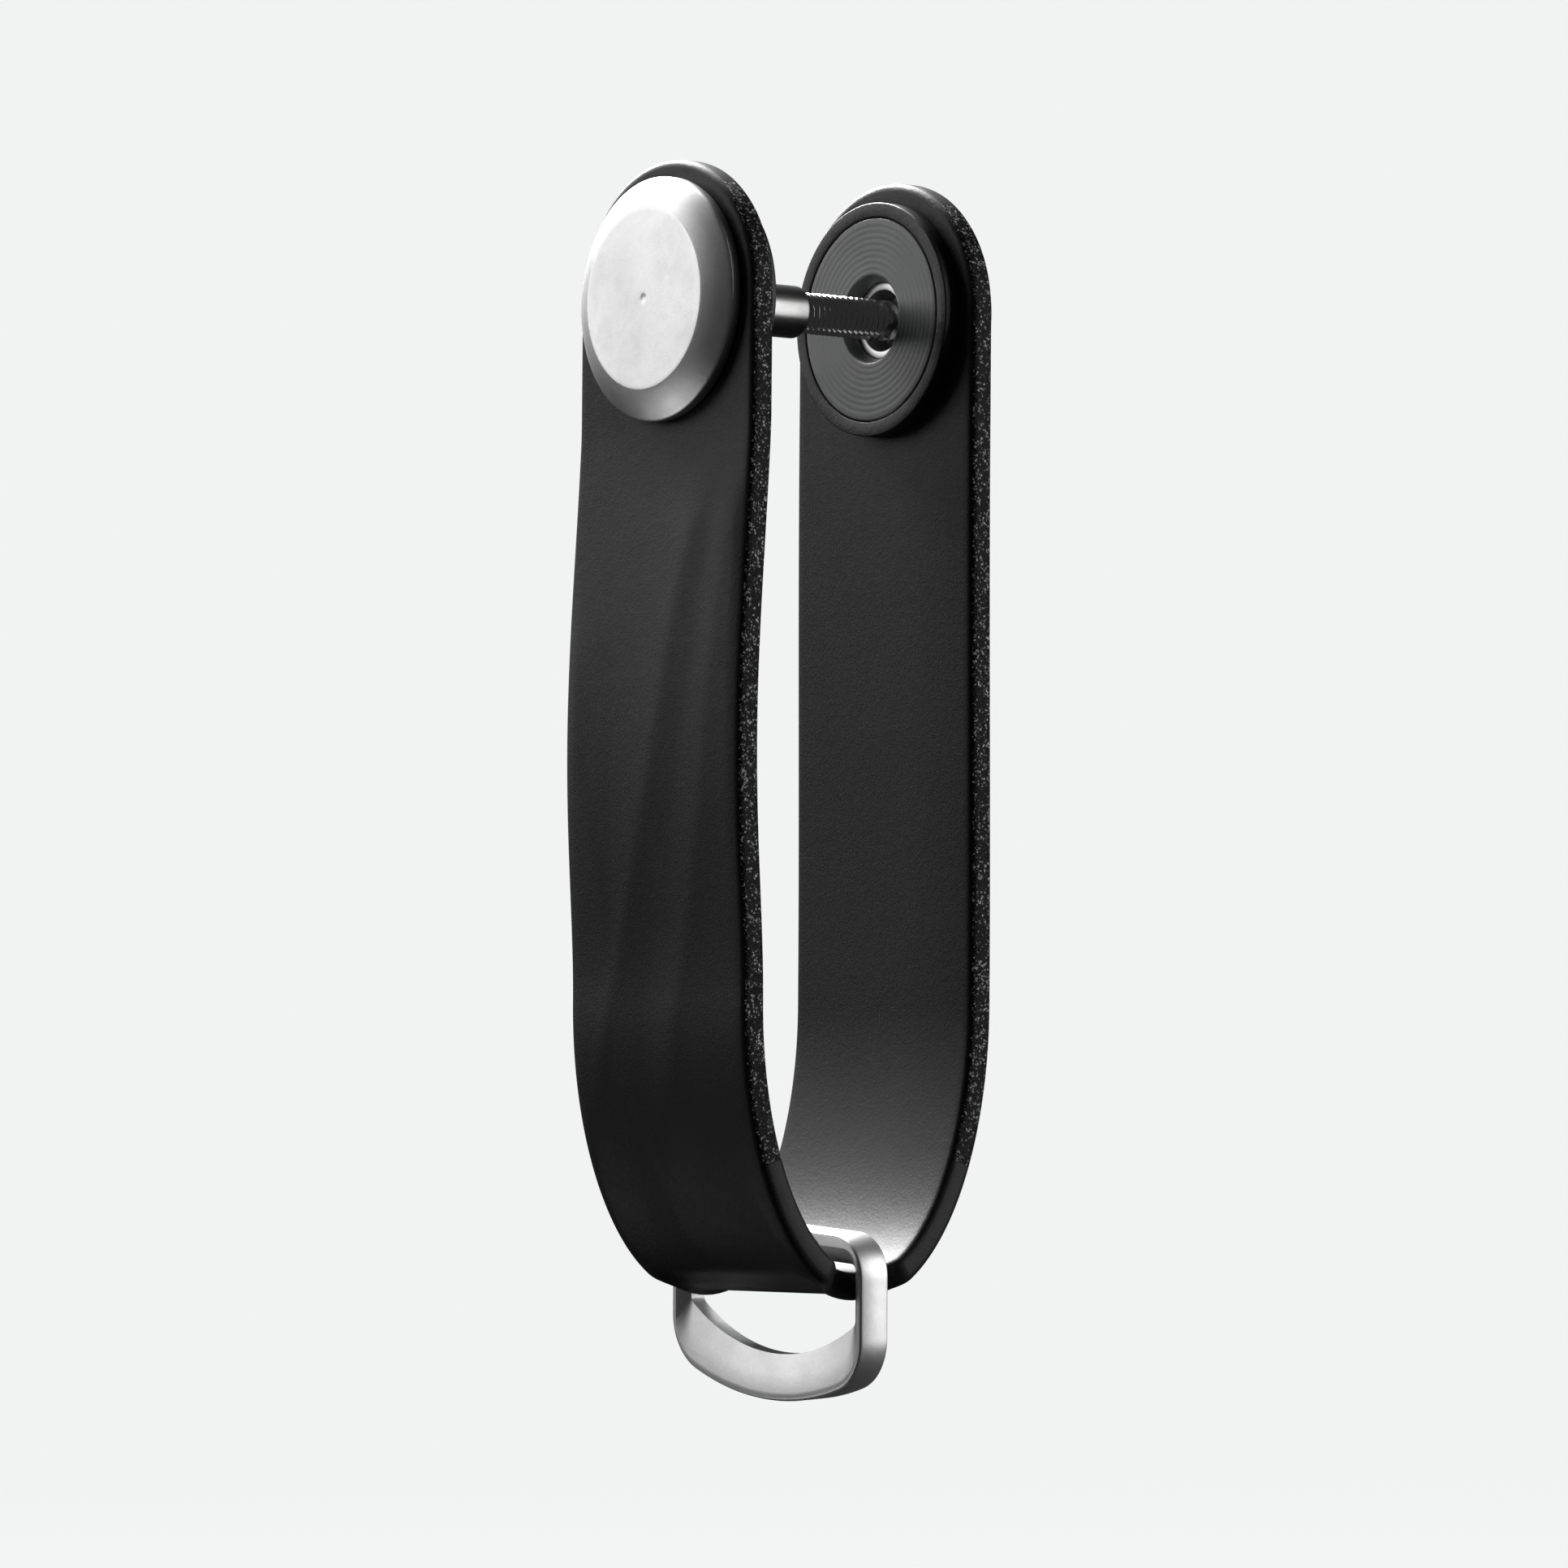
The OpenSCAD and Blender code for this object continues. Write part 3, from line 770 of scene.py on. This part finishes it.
# %% [markdown]
# ## Stage, light and camera
# The backdrop is a pale bowl that glows for the camera alone, so that the dark strap keeps its contrast. A
# large soft light stands on the left, one above lights the bend's inside, a weak one fills from below and
# a tall one picks out the right edges. The camera looks slightly upwards through a long lens.

# %% Pale sweep
SWEEP_FLOOR = cad_low.z - 60 * MM
SWEEP_R, SWEEP_CURVE, SWEEP_TOP = 2.4, 0.8, 3.5
rise = [(SWEEP_R + SWEEP_CURVE * sin(a), 0, SWEEP_FLOOR + SWEEP_CURVE * (1 - cos(a)))
        for a in np.linspace(0, pi / 2, 13)]
bowl = [(0, 0, SWEEP_FLOOR)] + rise + [(SWEEP_R + SWEEP_CURVE, 0, SWEEP_TOP)]
sweep = placed("pale_sweep", spun(bowl, (0, 0, 1), 64, 1e-5))
paper = bpy.data.materials.new("pale_paper")
paper.use_nodes = True
shader = paper.node_tree.nodes["Principled BSDF"]
shader.inputs["Base Color"].default_value = (0.02, 0.02, 0.02, 1)
shader.inputs["Roughness"].default_value = 0.9
shader.inputs["Specular IOR Level"].default_value = 0.0
shader.inputs["Emission Color"].default_value = (0.871, 0.896, 0.887, 1)
shader.inputs["Emission Strength"].default_value = 1.0
sweep.data.materials.append(paper)
sweep.visible_diffuse = False
sweep.visible_glossy = False

# %% Lights and world
AIM = Vector((0, 0, -0.035))


def soft_light(name, place, size, power, tall=None):
    """An area light that looks at the object, and that the camera doesn't see."""
    data = bpy.data.lights.new(name, "AREA")
    data.shape = "RECTANGLE"
    data.size, data.size_y, data.energy = size, tall or size, power
    lamp = bpy.data.objects.new(name, data)
    lamp.location = place
    lamp.rotation_euler = (AIM - Vector(place)).to_track_quat("-Z", "Y").to_euler()
    lamp.visible_camera = False
    bpy.context.scene.collection.objects.link(lamp)


soft_light("key", (-0.46, -0.36, 0.21), 0.42, 1.65)
soft_light("overhead", (-0.43, 0.08, 0.41), 0.30, 20.0)
soft_light("low_fill", (-0.30, -0.36, -0.44), 0.34, 0.9)
soft_light("edge", (0.42, 0.42, 0.05), 0.16, 2.2, tall=0.5)
world = bpy.data.worlds.new("dim_room")
world.use_nodes = True
world.node_tree.nodes["Background"].inputs["Color"].default_value = (0.9, 0.92, 0.91, 1)
world.node_tree.nodes["Background"].inputs["Strength"].default_value = 0.045
bpy.context.scene.world = world
bpy.context.scene.view_settings.view_transform = "Standard"

# %% Camera
CAMERA_AZIMUTH, CAMERA_ELEVATION, CAMERA_ROLL = radians(51.0), radians(-2.55), radians(0.48)
CAMERA_DISTANCE = 0.541
LOOK_AT = Vector((-0.0011, 0.0010, -0.03395))
towards = Vector((sin(CAMERA_AZIMUTH) * cos(CAMERA_ELEVATION), -cos(CAMERA_AZIMUTH) * cos(CAMERA_ELEVATION),
                  sin(CAMERA_ELEVATION)))
lens = bpy.data.cameras.new("camera")
lens.lens, lens.sensor_width = 172.7, 36.0
camera = bpy.data.objects.new("camera", lens)
camera.matrix_world = (Matrix.Translation(LOOK_AT + towards * CAMERA_DISTANCE)
                       @ towards.to_track_quat("Z", "Y").to_matrix().to_4x4()
                       @ Matrix.Rotation(CAMERA_ROLL, 4, "Z"))
bpy.context.scene.collection.objects.link(camera)
bpy.context.scene.camera = camera
